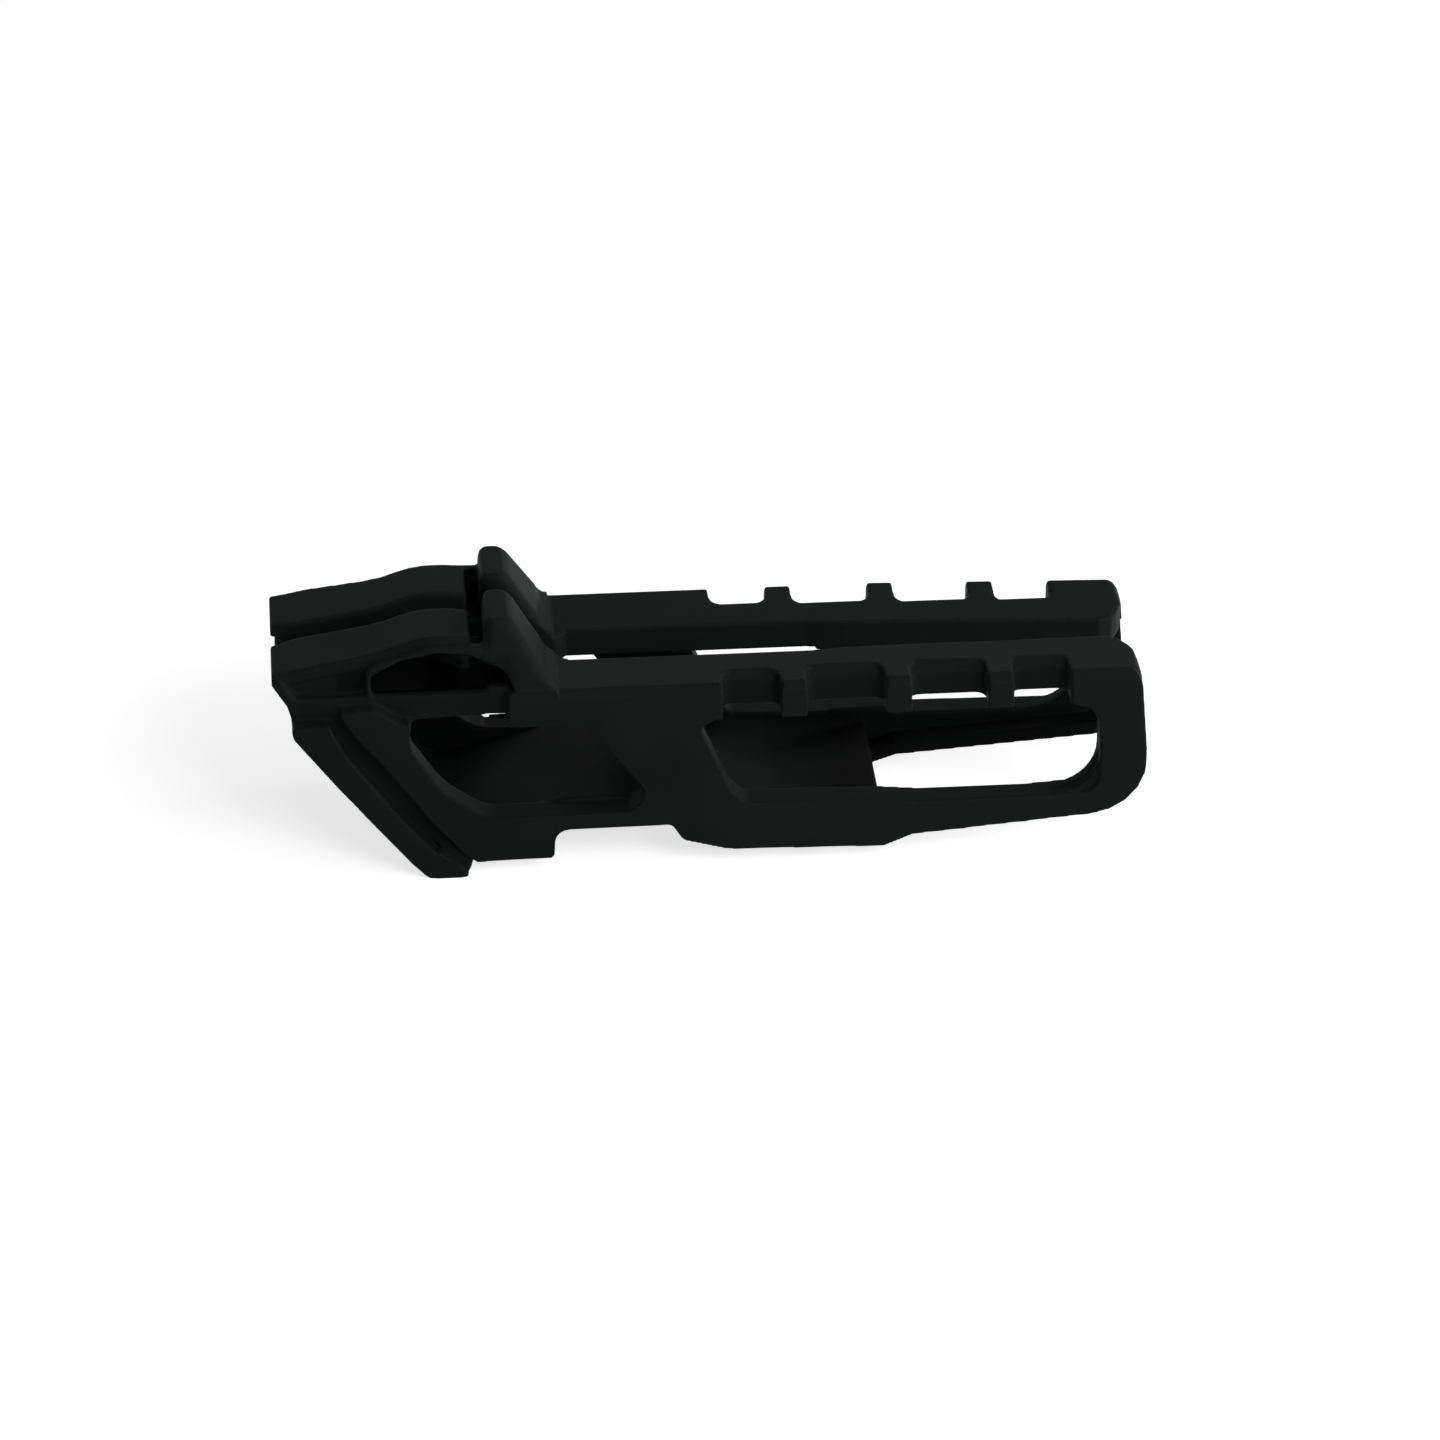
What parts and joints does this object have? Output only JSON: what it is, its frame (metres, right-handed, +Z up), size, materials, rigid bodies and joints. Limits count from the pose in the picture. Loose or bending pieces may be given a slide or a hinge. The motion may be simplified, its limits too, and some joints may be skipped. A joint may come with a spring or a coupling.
{
  "type": "motorcycle chain guide",
  "caption": "Moulded chain guide: a long open block with windowed side walls, slotted top rails with edge notches, an arched front roof with leaning fins and a slanting nose",
  "frame": {"origin": "bottom centre of the bounding box, on the plane that the nose foot stands on", "axes": "+X runs along the chain from the slanting nose to the notched tail, Y across the guide between its two mirrored side walls, +Z up through the slotted top"},
  "size_m": [0.1867, 0.045, 0.0598],
  "materials": {
    "guide_plastic": "black injection-moulded plastic, satin matte with a fine grain"
  },
  "bodies": {
    "root": {"guide_body": "guide_plastic"}
  },
  "joints": []
}
